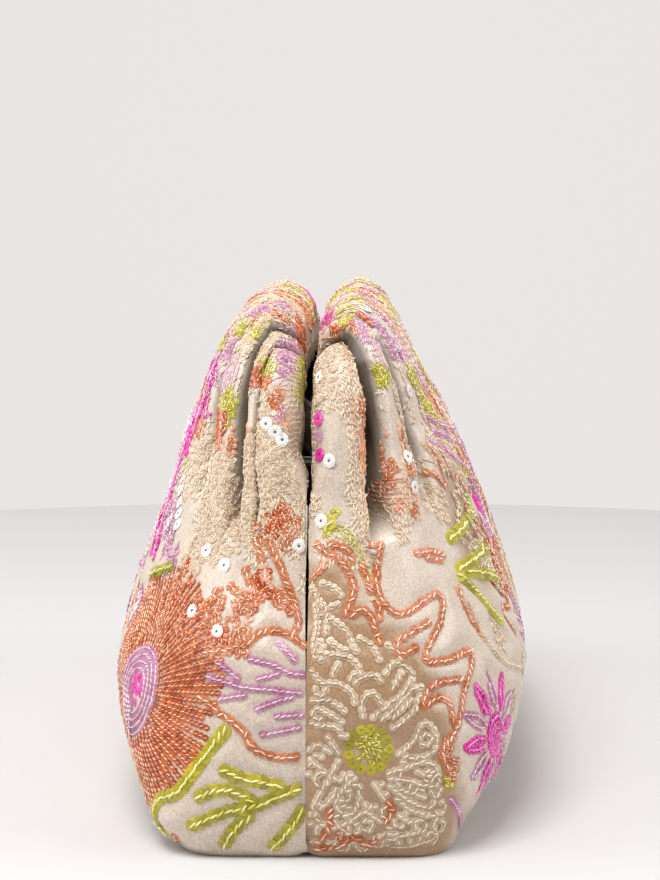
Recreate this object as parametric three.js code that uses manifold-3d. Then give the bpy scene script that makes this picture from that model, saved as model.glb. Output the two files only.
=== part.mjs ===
// Evening clutch: a soft pouch of two satin panels, gathered on a hidden hinged frame.
// Millimetres, +Z up. X runs along the mouth, -Y is the front, the origin is under the middle of the whole.
import * as THREE from "three";
import { mergeVertices } from "three/addons/utils/BufferGeometryUtils.js";
import Module from "manifold-3d";

const wasm = await Module();
wasm.setup();

// Driving dimensions
const LENGTH = 250; // along X at the belly
const DEPTH = 114; // along Y at the belly
const HEIGHT = 135; // base to the crest of the lips
const WALL = 1.8; // satin, wadding and backing, sewn as one layer
const SEAM_GAP = 0.3; // between the two panels where they are sewn together

// A panel is drawn line by line, up from the bottom seam, over the lip and down to the hem in the mouth.
// Each line is an arch from one side seam to the other, and the table has one row for each.
//   half         where the line meets the side seam, along X
//   front, back  how far the arch stands out from the mouth at mid-length, on either panel
//   endZ, midZ   its height at the side seam and at mid-length
//   square       superellipse exponent of the arch: 2 is an ellipse, more is squarer
//   gather       share of the folds' depth that shows on this line
const HALF = LENGTH / 2;
const FRONT = DEPTH / 2 - 2;
const BACK = DEPTH / 2 + 2;
const LINES = [
  // name, half, front, back, endZ, midZ, square, gather
  ["bottom_seam", HALF - 7, 0, 0, 0, 0, 2, 0],
  ["base_edge", HALF - 5, 34, 39, 0, 0, 9, 0],
  ["base_roll", HALF - 2, 41.5, 42, 5, 4, 6.5, 0],
  ["low_belly", HALF, 49.5, 52, 16, 16, 4.6, 0],
  ["belly", HALF, FRONT, BACK, 32, 37, 3.3, 0.08],
  ["waist", HALF - 4, 49, 53, 51, 61, 2.9, 0.25],
  ["shoulder", HALF - 12, 40, 43, 66, 86, 2.7, 0.6],
  ["high_shoulder", HALF - 15, 36, 38, 71, 96.5, 2.75, 0.8],
  ["neck", HALF - 18, 31.5, 31.5, 76, 107, 2.85, 1],
  ["lip_side", HALF - 20.5, 26, 24, 81.5, HEIGHT - 12, 3.2, 0.85],
  ["lip_turn", HALF - 22, 19.5, 18, 85.5, HEIGHT - 3, 3.5, 0.5],
  ["crest", HALF - 24.5, 11.5, 11, 88.5, HEIGHT, 3.8, 0.3],
  ["lip_inner", HALF - 28, 4.2, 4.2, 89.5, HEIGHT - 4, 3.8, 0.1],
  ["facing", HALF - 33, 2.2, 2.2, 89, HEIGHT - 11, 3.8, 0],
  ["hem", HALF - 39, 2.3, 2.3, 88, HEIGHT - 20, 3.8, 0],
].map(([name, half, front, back, endZ, midZ, square, gather]) => {
  return { name, half, front, back, endZ, midZ, square, gather };
});
const MOUTH_Y = (FRONT - BACK) / 2; // the mouth's plane, off the middle because the back is fuller
const lineNumber = (name) => LINES.findIndex((line) => line.name === name);

// Gathers at each end of the frame, one row for each valley, from the corner inwards.
//   at     where the valley lies on the frame: 0 is mid-length, 1 is the hinge
//   drift  how far it has moved towards the side seam by the belly
//   dip    how deep the valley is
//   crown  how far the fold on its mid-length side swells out
const END_FOLDS = [
  { at: 0.74, drift: 0.11, dip: 6.5, crown: 2.5 },
  { at: 0.665, drift: 0.09, dip: 6, crown: 2.5 },
  { at: 0.58, drift: 0.05, dip: 5, crown: 2 },
];
const MIDDLE_FOLDS = 11; // folds between the two ends' last valleys
const MIDDLE_DIP = 5;
const MIDDLE_CROWN = 1.6;
const WANDER = 0.018; // how far a middle valley strays from even spacing
const FOLD_STEPS = 4; // facets across one fold
const FOLD_ROUND = 0.8; // under 1 the folds are round and the valleys sharp
const ARM_STEPS = 6; // facets along the stretch over each arm of the frame
const ARM_RISE = 1 / 3; // share of that stretch in which the cloth rises out of the last valley

// Hidden frame: a steel bar behind each facing, and at each end a lug and a pin that join the two
const BAR_THICK = 1.6;
const BAR_GAP = 0.4; // clearance to the cloth
const BAR_TOP = 0.1; // upper and lower edge of a bar, as shares of the way from the facing to the hem
const BAR_FOOT = 0.6;
const BAR_END = 0.86; // where a bar ends on the arch, short of the hinge
const BAR_STEPS = 44;
const LUG_TALL = 4;
const LUG_INNER = 3.6; // inner face of a lug, from the mouth's plane
const PIN_X = 79; // inside the hems, where it can cross the mouth
const PIN_Z = 94;
const PIN_RADIUS = 1.5;

// An arch as a function of s, from -1 at one side seam to 1 at the other, evenly spaced along its length.
function arch({ half, endZ, midZ, square }, depth) {
  const SAMPLES = 400;
  const rise = Math.hypot(depth, midZ - endZ);
  const points = [];
  let run = 0;
  for (let i = 0; i <= SAMPLES; i++) {
    const angle = (i / SAMPLES) * (Math.PI / 2);
    const along = Math.sin(angle) ** (2 / square);
    const out = Math.cos(angle) ** (2 / square);
    const last = points[i - 1];
    if (last) run += Math.hypot((along - last.along) * half, (out - last.out) * rise);
    points.push({ along, out, run });
  }
  return (s) => {
    const wanted = Math.min(1, Math.abs(s)) * run;
    const next = Math.max(1, points.findIndex((p) => p.run >= wanted - 1e-9));
    const [a, b] = [points[next - 1], points[next]];
    const share = (wanted - a.run) / (b.run - a.run || 1);
    const along = a.along + (b.along - a.along) * share;
    const out = a.out + (b.out - a.out) * share;
    return new THREE.Vector3(Math.sign(s) * along * half, depth * out, endZ + (midZ - endZ) * out);
  };
}

// Which way the cloth faces at s on a line, before it is gathered.
function facingAt(arches, s, row) {
  if (row === 0) return new THREE.Vector3(0, 0, -1); // the base lies flat
  const DELTA = 0.004;
  const below = arches[row - 1](s);
  const above = arches[Math.min(row + 1, arches.length - 1)](s);
  const left = arches[row](Math.max(-1, s - DELTA));
  const right = arches[row](Math.min(1, s + DELTA));
  return above.sub(below).cross(right.sub(left)).normalize();
}

// Valleys of one panel, from one end of the frame to the other. The two panels wander differently.
function valleysOf(phase) {
  const inner = END_FOLDS.at(-1).at;
  const middle = [];
  for (let i = 1; i < MIDDLE_FOLDS; i++) {
    const even = inner * ((2 * i) / MIDDLE_FOLDS - 1);
    const stray = WANDER * Math.sin(2.4 * i + phase);
    const dip = MIDDLE_DIP * (1 + 0.25 * Math.sin(1.7 * i + 2 * phase));
    middle.push({ at: even + stray, drift: 0, dip, crown: MIDDLE_CROWN });
  }
  const far = END_FOLDS.map((fold) => ({ ...fold, at: -fold.at, drift: -fold.drift }));
  return [...far, ...middle, ...END_FOLDS.toReversed()];
}

// The two valleys on either side of g on the frame, and how far g lies from the first to the second.
// The hinges close the row: there the cloth is flat.
const hinge = (end) => ({ at: end, drift: 0, dip: 0, crown: 0 });
function between(g, valleys) {
  const stops = [hinge(-1), ...valleys, hinge(1)];
  const next = g < 1 ? stops.findIndex((stop) => stop.at > g) : stops.length - 1;
  const [a, b] = [stops[next - 1], stops[next]];
  return { a, b, share: (g - a.at) / (b.at - a.at) };
}

// How far the gathers push the cloth out: a sharp valley, a round fold, the next valley.
function gatherAt(g, valleys) {
  const { a, b, share } = between(g, valleys);
  if (a.at === -1) return armSwell(1 - share, b);
  if (b.at === 1) return armSwell(share, a);
  const dip = a.dip + (b.dip - a.dip) * share;
  const crown = Math.abs(a.at) > Math.abs(b.at) ? a.crown : b.crown;
  return -dip + (dip + crown) * Math.sin(Math.PI * share) ** FOLD_ROUND;
}

// Past the last valley the cloth swells over the frame's arm, then lies plain to the hinge.
function armSwell(share, valley) {
  const rise = Math.min(1, share / ARM_RISE);
  const fall = Math.max(0, (share - ARM_RISE) / (1 - ARM_RISE));
  const swell = valley.crown * Math.cos((fall * Math.PI) / 2) ** 2;
  return -valley.dip + (valley.dip + swell) * Math.sin((rise * Math.PI) / 2) ** FOLD_ROUND;
}

// Where the cloth gathered at g on the frame lies on a line: folds drift to the side seams as they fall.
function strayed(g, row, valleys) {
  const { a, b, share } = between(g, valleys);
  const fallen = (lineNumber("neck") - row) / (lineNumber("neck") - lineNumber("belly"));
  const drift = a.drift + (b.drift - a.drift) * share;
  return g + drift * Math.min(1, Math.max(0, fallen));
}

function columnsOf(valleys) {
  const stops = [-1, ...valleys.map((v) => v.at), 1];
  const columns = [-1];
  for (let i = 1; i < stops.length; i++) {
    const onArm = i === 1 || i === stops.length - 1;
    const steps = onArm ? ARM_STEPS : FOLD_STEPS;
    for (let j = 1; j <= steps; j++) columns.push(stops[i - 1] + ((stops[i] - stops[i - 1]) * j) / steps);
  }
  return columns;
}

// A wall between an outer and an inner grid of points, closed round its edge.
function wallGeometry(outer, inner) {
  const tall = outer.length;
  const wide = outer[0].length;
  const face = wide * tall;
  const triangles = [];
  const quad = (a, b, c, d) => triangles.push(a, b, c, a, c, d);
  const back = (a, b, c, d) => quad(...[a, d, c, b].map((corner) => face + corner));
  const at = (i, j) => j * wide + i;
  for (let j = 0; j + 1 < tall; j++) {
    for (let i = 0; i + 1 < wide; i++) {
      // the diagonals mirror at mid-length, so that no facet at either end of the bottom seam is a line
      const corners = [at(i, j), at(i + 1, j), at(i + 1, j + 1), at(i, j + 1)];
      if (2 * i + 1 >= wide) corners.push(corners.shift());
      quad(...corners);
      back(...corners);
    }
  }
  const rim = [];
  for (let i = 0; i + 1 < wide; i++) rim.push(at(i, 0));
  for (let j = 0; j + 1 < tall; j++) rim.push(at(wide - 1, j));
  for (let i = wide - 1; i > 0; i--) rim.push(at(i, tall - 1));
  for (let j = tall - 1; j > 0; j--) rim.push(at(0, j));
  rim.forEach((a, n) => {
    const b = rim[(n + 1) % rim.length];
    quad(a, face + a, face + b, b);
  });
  const geometry = new THREE.BufferGeometry().setFromPoints([...outer, ...inner].flat());
  geometry.setIndex(triangles);
  return geometry;
}

// Sets what is drawn on the +Y side on its own side of the mouth's plane: -1 is the front, 1 the back.
function setOnSide(geometry, side) {
  const position = geometry.attributes.position;
  for (let i = 0; i < position.count; i++) {
    position.setY(i, MOUTH_Y + side * (Math.max(0, position.getY(i)) + SEAM_GAP / 2));
  }
  if (side > 0) geometry.index.array.reverse();
  geometry.computeVertexNormals();
  return geometry;
}

// One panel, from the bottom seam to the hem inside the mouth.
function panelGeometry(arches, side, phase) {
  const valleys = valleysOf(phase);
  const columns = columnsOf(valleys);
  const outer = [];
  const inner = [];
  LINES.forEach((line, row) => {
    outer.push([]);
    inner.push([]);
    for (const g of columns) {
      const s = strayed(g, row, valleys);
      const normal = facingAt(arches, s, row);
      const outside = arches[row](s).addScaledVector(normal, gatherAt(g, valleys) * line.gather);
      outer[row].push(outside);
      inner[row].push(outside.clone().addScaledVector(normal, -WALL));
    }
  });
  return setOnSide(wallGeometry(outer, inner), side);
}

// One bar of the frame: a strip that follows the facing, just behind it.
function barGeometry(arches, side) {
  const row = lineNumber("facing");
  const outer = [];
  const inner = [];
  for (const share of [BAR_TOP, BAR_FOOT]) {
    const near = [];
    const far = [];
    for (let i = 0; i <= BAR_STEPS; i++) {
      const s = BAR_END * ((2 * i) / BAR_STEPS - 1);
      const normal = facingAt(arches, s, row);
      const onCloth = arches[row](s).lerp(arches[row + 1](s), share);
      near.push(onCloth.clone().addScaledVector(normal, -WALL - BAR_GAP));
      far.push(onCloth.clone().addScaledVector(normal, -WALL - BAR_GAP - BAR_THICK));
    }
    outer.push(near);
    inner.push(far);
  }
  return setOnSide(wallGeometry(outer, inner), side);
}

// The lug that carries a bar's end inwards to the pin. end is -1 or 1 along X.
function lugGeometry(arches, side, end) {
  const row = lineNumber("facing");
  const barEnd = arches[row](end * BAR_END).lerp(arches[row + 1](end * BAR_END), (BAR_TOP + BAR_FOOT) / 2);
  const pin = new THREE.Vector3(end * PIN_X, 0, PIN_Z);
  const run = barEnd.setY(0).distanceTo(pin);
  const geometry = new THREE.BoxGeometry(run, BAR_THICK, LUG_TALL);
  geometry.rotateY(Math.atan2(pin.z - barEnd.z, barEnd.x - pin.x));
  const middle = barEnd.add(pin).multiplyScalar(0.5);
  geometry.translate(middle.x, MOUTH_Y + side * (LUG_INNER + BAR_THICK / 2), middle.z);
  return geometry;
}

function pinGeometry(end) {
  const geometry = new THREE.CylinderGeometry(PIN_RADIUS, PIN_RADIUS, 2 * (LUG_INNER + BAR_THICK), 12);
  return geometry.translate(end * PIN_X, MOUTH_Y, PIN_Z);
}

// Joins closed geometries into one solid.
function joined(geometries) {
  const solids = geometries.map((geometry) => {
    geometry.deleteAttribute("normal");
    geometry.deleteAttribute("uv");
    const welded = mergeVertices(geometry, 1e-4);
    return new wasm.Manifold(new wasm.Mesh({
      numProp: 3,
      vertProperties: welded.attributes.position.array,
      triVerts: new Uint32Array(welded.index.array),
    }));
  });
  const mesh = wasm.Manifold.union(solids).getMesh();
  const geometry = new THREE.BufferGeometry();
  geometry.setAttribute("position", new THREE.BufferAttribute(mesh.vertProperties, 3));
  geometry.setIndex(new THREE.BufferAttribute(mesh.triVerts, 1));
  geometry.computeVertexNormals();
  return geometry;
}

function piece(name, geometry, material) {
  const mesh = new THREE.Mesh(geometry, material);
  mesh.name = name;
  return mesh;
}

const satin = new THREE.MeshStandardMaterial({ name: "satin", color: "#d9c9b8", roughness: 0.45 });
const steel = new THREE.MeshStandardMaterial({ name: "frame_steel", color: "#b9b6b0", metalness: 1 });

const frontArches = LINES.map((line) => arch(line, line.front));
const backArches = LINES.map((line) => arch(line, line.back));
const frameParts = [
  barGeometry(frontArches, -1),
  barGeometry(backArches, 1),
  ...[-1, 1].flatMap((end) => [lugGeometry(frontArches, -1, end), lugGeometry(backArches, 1, end)]),
  ...[-1, 1].map(pinGeometry),
];

const clutch = new THREE.Group();
clutch.name = "clutch";
clutch.add(
  piece("front_panel", panelGeometry(frontArches, -1, 0.4), satin),
  piece("back_panel", panelGeometry(backArches, 1, 1.9), satin),
  piece("mouth_frame", joined(frameParts), steel),
);
export default clutch;
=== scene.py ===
# Evening clutch: a soft pouch of champagne satin on a hidden frame, embroidered all over with sequin flowers.
# Sizes are in millimetres up to the point where a mesh is made, and Blender's metres from there on.
import math

import bmesh
import bpy
import numpy as np
from mathutils import Matrix, Vector, noise
from mathutils.bvhtree import BVHTree
from mathutils.kdtree import KDTree


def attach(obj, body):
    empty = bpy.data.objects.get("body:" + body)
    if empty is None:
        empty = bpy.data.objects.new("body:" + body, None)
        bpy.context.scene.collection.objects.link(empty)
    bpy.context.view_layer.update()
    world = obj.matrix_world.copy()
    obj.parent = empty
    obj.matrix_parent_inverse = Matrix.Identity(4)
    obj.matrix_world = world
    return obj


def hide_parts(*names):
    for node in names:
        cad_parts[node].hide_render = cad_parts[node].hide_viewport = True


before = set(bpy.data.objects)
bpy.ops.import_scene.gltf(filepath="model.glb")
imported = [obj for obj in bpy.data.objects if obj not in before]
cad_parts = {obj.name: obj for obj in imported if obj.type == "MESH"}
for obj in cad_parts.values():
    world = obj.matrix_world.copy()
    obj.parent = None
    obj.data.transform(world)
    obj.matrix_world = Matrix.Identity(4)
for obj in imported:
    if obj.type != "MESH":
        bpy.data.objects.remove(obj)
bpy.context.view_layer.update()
MM = 0.001


# Camera. It stands at the photograph's viewpoint: off one end of the clutch, a little above it, with a long
# lens. The focal length is in pixels of a picture of 660 by 880, and so are the points of the end's chart.
PICTURE = (660, 880)
FOCAL_PX = 2400.0
CAMERA_AT = Vector((701.8, 17.1, 173.0))
CAMERA_PITCH = math.radians(6.7)
CAMERA_YAW = math.radians(1.3)
SENSOR_MM = 36.0

camera_looks = Vector((
    -math.cos(CAMERA_YAW) * math.cos(CAMERA_PITCH),
    -math.sin(CAMERA_YAW) * math.cos(CAMERA_PITCH),
    -math.sin(CAMERA_PITCH),
))
camera_right = camera_looks.cross(Vector((0, 0, 1))).normalized()
camera_up = camera_right.cross(camera_looks)
lens = bpy.data.cameras.new("camera")
lens.sensor_width = SENSOR_MM
lens.lens = SENSOR_MM * FOCAL_PX / max(PICTURE)
camera = bpy.data.objects.new("camera", lens)
camera.location = CAMERA_AT * MM
camera.rotation_mode = "QUATERNION"
camera.rotation_quaternion = camera_looks.to_track_quat("-Z", "Y")
bpy.context.scene.collection.objects.link(camera)
bpy.context.scene.camera = camera


# Frame. Two flat steel bars behind the facings, joined by a pin at each end of the mouth. They are
# nickel-plated strip, stamped and bent: a fine drawn grain along the bar, and slightly dull.
def linear(code):
    """An sRGB hex colour as linear red, green, blue and alpha."""
    parts = [int(code[i : i + 2], 16) / 255 for i in (1, 3, 5)]
    return [p / 12.92 if p <= 0.04045 else ((p + 0.055) / 1.055) ** 2.4 for p in parts] + [1.0]


def add_node(tree, kind, settings=(), inputs=()):
    """Adds a node, sets its settings, and fills or links its inputs."""
    node = tree.nodes.new(kind)
    for name, value in dict(settings).items():
        setattr(node, name, value)
    for name, value in dict(inputs).items():
        if isinstance(value, bpy.types.NodeSocket):
            tree.links.new(value, node.inputs[name])
        else:
            node.inputs[name].default_value = value
    return node


def new_material(name, inputs):
    """A material with the given inputs on its shader. Returns it with its node tree and its shader."""
    material = bpy.data.materials.new(name)
    material.use_nodes = True
    shader = material.node_tree.nodes["Principled BSDF"]
    for key, value in inputs.items():
        shader.inputs[key].default_value = value
    return material, material.node_tree, shader


PLATING_GRAIN_MM = 0.4

nickel, tree, shader = new_material("nickel_plated_steel", {"Metallic": 1.0, "Base Color": linear("#c4c0b8")})
place = add_node(tree, "ShaderNodeTexCoord")
drawn = add_node(tree, "ShaderNodeMapping", inputs={"Vector": place.outputs["Object"], "Scale": (0.1, 1, 1)})
grain = add_node(tree, "ShaderNodeTexNoise", inputs={
    "Vector": drawn.outputs[0], "Scale": 1 / (PLATING_GRAIN_MM * MM), "Detail": 3.0})
dull = add_node(tree, "ShaderNodeMapRange", inputs={
    "Value": grain.outputs["Fac"], "To Min": 0.25, "To Max": 0.45})
tree.links.new(dull.outputs[0], shader.inputs["Roughness"])
mouth_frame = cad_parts["mouth_frame"]
mouth_frame.data.materials.clear()
mouth_frame.data.materials.append(nickel)


# Panels. Front and back are each one cut of padded satin, sewn together along the bottom and up both ends.
# Their upper edges are gathered on the frame, so the cloth stands in deep folds at the lips, round below.
HALF = 125.0
HEIGHT = 133.6
MOUTH_Y = -2.0  # the mouth's plane
FRONT, BACK = -1, 1  # the side of it that a panel is on
SEAM_GAP = 0.08
WALL = 1.5
SEAM_WALL = 0.15  # at a seam, whose stitches press the wadding flat
SEAM_PRESS = 5.0  # how far from the seam it is full again
# Lines of a panel, up from the bottom seam, over the lip and down to the hem, each an arch between the seams:
#   name, half length, depth of front and back, height at the seam and at mid-length, squareness, share of the
#   folds, rows of mesh up to the next line
LINES = [
    ("bottom_seam", HALF - 7, 0, 0, 0, 0, 2, 0, 6),
    ("base_edge", HALF - 5, 34, 39, 0, 0, 9, 0, 6),
    ("base_roll", HALF - 2, 41.5, 42, 5, 4, 6.5, 0, 10),
    ("low_belly", HALF, 49.5, 52, 16, 16, 4.6, 0, 16),
    ("belly", HALF, 55, 59, 32, 37, 3.3, 0, 20),
    ("waist", HALF - 4, 49, 53, 51, 61, 2.9, 0, 20),
    ("shoulder", HALF - 12, 40, 43, 66, 86, 2.7, 0, 9),
    ("high_shoulder", HALF - 15, 36, 38, 71, 96.5, 2.75, 0, 9),
    ("neck", HALF - 18, 31.5, 31.5, 76, 107, 2.85, 0.65, 14),
    ("lip_side", HALF - 20.5, 25, 23.5, 81.5, HEIGHT - 12, 3.2, 1, 10),
    ("lip_turn", HALF - 22, 18.5, 17.5, 85.5, HEIGHT - 3, 3.5, 1, 10),
    ("crest", HALF - 24.5, 11.5, 11, 88.5, HEIGHT, 3.8, 1, 9),
    ("lip_inner", HALF - 28, 4.0, 3.6, 89.5, HEIGHT - 4, 3.8, 0.4, 6),
    ("facing", HALF - 33, 1.8, 1.2, 89, HEIGHT - 11, 3.8, 0, 5),
    ("hem", HALF - 39, 2.0, 1.4, 88, HEIGHT - 20, 3.8, 0, 0),
]
FRONT_DEPTH, BACK_DEPTH, FOLD_SHARE, MESH_ROWS = 2, 3, 7, 8  # columns of a line
LINE_NAMES = [line[0] for line in LINES]
NECK = LINE_NAMES.index("neck")
BELLY = LINE_NAMES.index("belly")
SHOULDER = LINE_NAMES.index("shoulder")
CREST = LINE_NAMES.index("crest")
CREST_LENGTH = 131.0  # from mid-length to the hinge
# Valleys at either end, from the corner inwards. A place is a share of a line's half length, 1 at the seam:
#   place on the crest, at the neck and at the belly, how deep it dips, how far the next fold swells, half the
#   width of its floor, the line where it has died out
END_VALLEYS = {
    "front_panel": [
        (0.67, 0.87, 0.91, 6.0, 1.0, 0.6, "high_shoulder"),
        (0.59, 0.80, 0.86, 19.0, 2.6, 2.4, "shoulder"),
        (0.47, 0.63, 0.70, 15.0, 2.6, 1.6, "shoulder"),
        (0.36, 0.46, 0.52, 11.0, 2.4, 0.8, "waist"),
    ],
    "back_panel": [
        (0.64, 0.82, 0.88, 20.0, 2.6, 4.0, "shoulder"),
        (0.52, 0.62, 0.70, 16.0, 2.8, 2.6, "shoulder"),
        (0.39, 0.46, 0.52, 11.0, 2.4, 0.8, "waist"),
    ],
}
ON_CREST, AT_NECK, AT_BELLY, DIP, CROWN, FLOOR, FOOT = range(7)  # columns of a valley
MIDDLE_FOLDS = 7
MIDDLE_DIP = 8.5
MIDDLE_CROWN = 1.8
MIDDLE_FLOOR = 0.7
VALLEY_WANDER = 0.018
FOLD_SQUARE = 3.6  # at 2 a fold is half a round tube, and above 2 its flanks are steep and its valleys narrow
ARM_RISE = 0.18  # share of the arm's stretch in which the cloth rises out of the last valley
TUBE = 0.08  # how far the folds' flanks lean over the valleys, as a share of a fold's width
ARM_COLUMNS = 44  # of mesh, from the seam to the first valley
FOLD_COLUMNS = 15
SEAM_PULL = 1.1  # how deep the side seam draws the cloth in
SEAM_PULL_WIDTH = 2.2
PULL_ABOVE_NECK = 2  # lines above the neck at which the pull ends, and over how many it fades
PULL_LINES = 3
# above each hinge the lips part a little: how far each panel stands off, and where, as a share of a line
EYE = {"front_panel": 1.2, "back_panel": 0.2}
EYE_AT = 0.915
EYE_WIDTH = 0.035
# between these depths below the folds the satin is painted darker, as painted shade, where light hardly
# reaches it
SHADE_STARTS = 1.0
SHADE_ENDS = 3.8
SHADE_BELOW_NECK = 1.4  # lines below the neck at which it starts, and over how many it grows
SHADE_LINES = 2
# soft billows and a fine crimp, where the embroidery draws the satin together: height and length of each
BILLOWS = ((1.1, 24), (0.5, 10))
CRIMP = (0.3, 4.5)
BILLOWS_FROM = 1.5  # the line from which the cloth is off the table
PHASE_SHIFT = 300  # gives each panel billows of its own
FLOOR_GAP = 0.05


def arch_table(line, depth):
    """Points of one line's arch by the share of its length from mid-length to the seam."""
    _, half, _, _, end_z, mid_z, square, _, _ = line
    angle = np.linspace(0, math.pi / 2, 1500)
    along = np.sin(angle) ** (2 / square)
    out = np.cos(angle) ** (2 / square)
    points = np.stack([along * half, out * depth, end_z + (mid_z - end_z) * out], axis=1)
    run = np.concatenate([[0], np.cumsum(np.linalg.norm(np.diff(points, axis=0), axis=1))])
    return run / run[-1], points, run[-1]


def on_arch(table, s):
    """Points at s on an arch, from -1 at one side seam to 1 at the other."""
    share, points, _ = table
    found = np.stack([np.interp(np.abs(s), share, points[:, axis]) for axis in range(3)], axis=1)
    found[:, 0] *= np.sign(s)
    return found


def smooth_row(tables, s, row):
    """Points of the ungathered cloth at s on a row, on a curve through the lines nearest to it."""
    k = min(int(row), len(tables) - 2)
    near = [on_arch(tables[min(max(i, 0), len(tables) - 1)], s) for i in (k - 1, k, k + 1, k + 2)]
    gaps = [np.maximum(np.linalg.norm(b - a, axis=1, keepdims=True), 1e-6) for a, b in zip(near, near[1:])]
    slopes = [(b - a) / gap for a, b, gap in zip(near, near[1:], gaps)]
    start = (gaps[1] * slopes[0] + gaps[0] * slopes[1]) / (gaps[0] + gaps[1])
    end = (gaps[2] * slopes[1] + gaps[1] * slopes[2]) / (gaps[1] + gaps[2])
    u = row - k
    return (
        (2 * u**3 - 3 * u**2 + 1) * near[1]
        + (u**3 - 2 * u**2 + u) * gaps[1] * start
        + (3 * u**2 - 2 * u**3) * near[2]
        + (u**3 - u**2) * gaps[1] * end
    )


def valleys_of(name, phase):
    """All the valleys of a panel, from one side seam to the other."""
    ends = [(*row[:FOOT], LINE_NAMES.index(row[FOOT])) for row in END_VALLEYS[name]]
    inner = ends[-1][ON_CREST]
    middle = []
    for i in range(1, MIDDLE_FOLDS):
        # slow sines make each valley a little different from the next
        at = inner * (2 * i / MIDDLE_FOLDS - 1) + VALLEY_WANDER * math.sin(2.4 * i + phase)
        spread = at * ends[-1][AT_NECK] / inner
        dip = MIDDLE_DIP * (1 + 0.25 * math.sin(1.7 * i + 2 * phase))
        foot = LINE_NAMES.index("waist") + 0.8 * math.sin(2.9 * i + phase)
        middle.append((at, spread, spread, dip, MIDDLE_CROWN, MIDDLE_FLOOR, foot))
    far = [(-crest, -neck, -belly, *rest) for crest, neck, belly, *rest in ends]
    flat = (0, 0, 0, NECK - 1)
    return np.array([(-1, -1, -1, *flat), *far, *middle, *ends[::-1], (1, 1, 1, *flat)], float)


def gather(valleys, g, row):
    """Where the cloth gathered at g on the crest lies on a row, how far the folds push it out, and how far
    it lies below the folds."""
    i = np.clip(np.searchsorted(valleys[:, ON_CREST], g, side="right"), 1, len(valleys) - 1)
    a, b = valleys[i - 1], valleys[i]
    span = b[:, ON_CREST] - a[:, ON_CREST]
    share = (g - a[:, ON_CREST]) / span
    to_neck = np.clip((CREST - row) / (CREST - NECK), 0, 1)
    to_belly = np.clip((NECK - row) / (NECK - BELLY), 0, 1)
    places = [
        valley[:, ON_CREST]
        + (valley[:, AT_NECK] - valley[:, ON_CREST]) * to_neck
        + (valley[:, AT_BELLY] - valley[:, AT_NECK]) * to_belly
        for valley in (a, b)
    ]
    width = places[1] - places[0]
    if row > NECK:
        on_lip = np.interp(row, range(len(LINES)), [line[FOLD_SHARE] for line in LINES])
        depth = [on_lip, on_lip]
    else:
        rises = [np.clip((row - valley[:, FOOT]) / (NECK - valley[:, FOOT]), 0, 1) for valley in (a, b)]
        depth = [LINES[NECK][FOLD_SHARE] * rise * rise * (3 - 2 * rise) for rise in rises]
    dip = a[:, DIP] * depth[0] * (1 - share) + b[:, DIP] * depth[1] * share
    grown = depth[0] * (1 - share) + depth[1] * share
    a_is_outer = np.abs(a[:, ON_CREST]) > np.abs(b[:, ON_CREST])
    crown = np.where(a_is_outer, a[:, CROWN], b[:, CROWN]) * grown
    floors = [valley[:, FLOOR] / (CREST_LENGTH * span) for valley in (a, b)]
    flank = np.clip((share - floors[0]) / (1 - floors[0] - floors[1]), 0, 1)
    drop = (dip + crown) * (1 - (1 - np.abs(2 * flank - 1) ** FOLD_SQUARE) ** (1 / FOLD_SQUARE))
    # past the last valley the cloth swells over the frame's arm and then lies plain to the hinge
    first = i == 1
    arm = first | (i == len(valleys) - 1)
    valley = np.where(first[:, None], b, a)
    from_valley = np.where(first, 1 - flank, flank)
    rise = np.clip(from_valley / ARM_RISE, 0, 1)
    fall = np.clip((from_valley - ARM_RISE) / (1 - ARM_RISE), 0, 1)
    swell = valley[:, CROWN] * np.cos(fall * math.pi / 2) ** 2
    sunk = (valley[:, DIP] + swell) * (1 - (1 - (1 - rise) ** FOLD_SQUARE) ** (1 / FOLD_SQUARE))
    on_arm = np.where(first, depth[1], depth[0])
    lean = TUBE * width * np.sin(2 * math.pi * share) * grown
    arm_lean = TUBE * 2 * ARM_RISE * width * np.sin(math.pi * rise) * np.where(first, -on_arm, on_arm)
    place = places[0] + width * share - np.where(arm, arm_lean, lean)
    below = np.where(arm, on_arm * sunk, drop)
    return place, np.where(arm, on_arm * swell, crown) - below, below


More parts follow.
